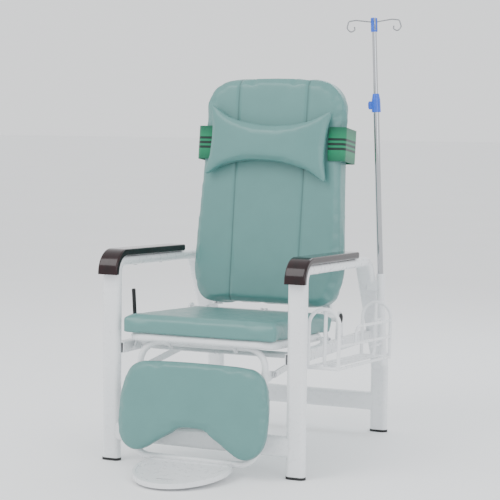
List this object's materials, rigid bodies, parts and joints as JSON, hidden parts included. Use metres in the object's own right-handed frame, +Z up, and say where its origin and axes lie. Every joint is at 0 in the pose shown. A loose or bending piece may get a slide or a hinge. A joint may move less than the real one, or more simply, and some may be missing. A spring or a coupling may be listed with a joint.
{
  "type": "patient recliner chair",
  "caption": "Hospital infusion recliner chair: white tube frame, padded seat and reclining back, leg rest with footplate, wire basket and IV pole.",
  "frame": {"origin": "on the floor, at the middle of the whole chair's bounding box", "axes": "+Z up; the sitter faces -Y; the IV pole and basket are on the +X side"},
  "size_m": [0.7584, 1.1072, 1.3894],
  "materials": {
    "white_paint": "gloss powder coat",
    "vinyl": "semi-gloss vinyl",
    "armrest_plastic": "gloss",
    "chrome": "polished",
    "blue_plastic": "gloss",
    "stainless": "satin",
    "zinc_steel": "bright zinc",
    "plywood": "raw",
    "black_rubber": "matt",
    "black_paint": "satin",
    "elastic": "woven"
  },
  "bodies": {
    "frame": {"side_frame_left": "white_paint", "side_frame_right": "white_paint", "foot_caps": "black_rubber", "front_cross_rail": "white_paint", "rear_cross_rail": "white_paint", "seat_side_rail_left": "white_paint", "seat_side_rail_right": "white_paint", "armrest_pad_left": "armrest_plastic", "armrest_pad_right": "armrest_plastic", "armrest_screws": "zinc_steel", "seat_frame": "white_paint", "seat_brackets": "white_paint", "seat_bolts": "zinc_steel", "seat_board": "plywood", "seat_cushion": "vinyl", "recline_brackets": "white_paint", "legrest_hinge_lugs": "white_paint", "gas_spring_cylinder": "black_paint", "gas_anchor_tube": "white_paint", "gas_anchor_ears": "white_paint", "gas_anchor_pin": "zinc_steel", "lever_bracket": "white_paint", "pole_socket": "white_paint", "socket_stays": "white_paint", "basket_front_arch": "white_paint", "basket_rear_arch": "white_paint", "basket_rails": "white_paint", "basket_middle_wire": "white_paint", "basket_tray": "white_paint", "basket_stubs": "white_paint"},
    "backrest": {"recline_shaft": "white_paint", "shaft_caps": "black_rubber", "back_frame": "white_paint", "back_arm_left": "white_paint", "back_arm_right": "white_paint", "rear_link_pins": "zinc_steel", "back_board": "vinyl", "back_cushion": "vinyl", "gas_crank_ears": "white_paint", "gas_crank_pin": "zinc_steel"},
    "headrest": {"pillow": "vinyl", "pillow_strap": "elastic"},
    "legrest": {"legrest_frame": "white_paint", "legrest_ears": "white_paint", "front_link_pins": "zinc_steel", "legrest_board": "vinyl", "legrest_pad": "vinyl", "footplate": "white_paint"},
    "links": {"link_bar_left": "white_paint", "link_bar_right": "white_paint"},
    "gas_rod": {"gas_spring_rod": "zinc_steel"},
    "lever": {"release_shaft": "white_paint", "release_lever": "white_paint", "lever_grip": "black_rubber"},
    "pole_lower": {"lower_pole": "chrome", "pole_collar": "blue_plastic"},
    "collar_button": {"collar_button": "blue_plastic"},
    "pole_upper": {"upper_pole": "chrome", "pole_hub": "blue_plastic", "iv_hooks": "stainless"}
  },
  "joints": [
    {"name": "back_recline", "type": "hinge", "parent": "frame", "child": "backrest", "pos_m": [-0.04125, 0.2345, 0.42], "axis": [-1, 0, 0], "range_deg": [0, 58]},
    {"name": "legrest_lift", "type": "hinge", "parent": "frame", "child": "legrest", "pos_m": [-0.04125, -0.2395, 0.376], "axis": [-1, 0, 0], "range_deg": [0, 58]},
    {"name": "link_swing", "type": "hinge", "parent": "legrest", "child": "links", "pos_m": [-0.04125, -0.1927, 0.29494], "axis": [-1, 0, 0], "range_deg": [-58, 0]},
    {"name": "gas_rod_slide", "type": "slide", "parent": "frame", "child": "gas_rod", "axis": [0, -1, 0], "range_m": [0, 0.0812]},
    {"name": "lever_pull", "type": "hinge", "parent": "frame", "child": "lever", "pos_m": [-0.30325, -0.1715, 0.366], "axis": [-1, 0, 0], "range_deg": [0, 15], "stiffness_Nm_per_rad": 2},
    {"name": "pillow_slide", "type": "slide", "parent": "backrest", "child": "headrest", "axis": [0, 0.1132, 0.9936], "range_m": [-0.05, 0.03]},
    {"name": "pole_swivel", "type": "hinge", "parent": "frame", "child": "pole_lower", "pos_m": [0.31075, 0.3795, 0.55], "axis": [-0.0464, 0, 0.9989], "continuous": true},
    {"name": "collar_press", "type": "slide", "parent": "pole_lower", "child": "collar_button", "axis": [0.9989, 0, 0.0464], "range_m": [0, 0.002], "stiffness_N_per_m": 600},
    {"name": "pole_extend", "type": "slide", "parent": "pole_lower", "child": "pole_upper", "axis": [-0.0464, 0, 0.9989], "range_m": [-0.1, 0.3]}
  ],
  "couplings": [
    {"joint": "legrest_lift", "follows": "back_recline", "ratio": 1},
    {"joint": "link_swing", "follows": "back_recline", "ratio": -1},
    {"joint": "gas_rod_slide", "follows": "back_recline", "m_per_rad": 0.080214}
  ]
}
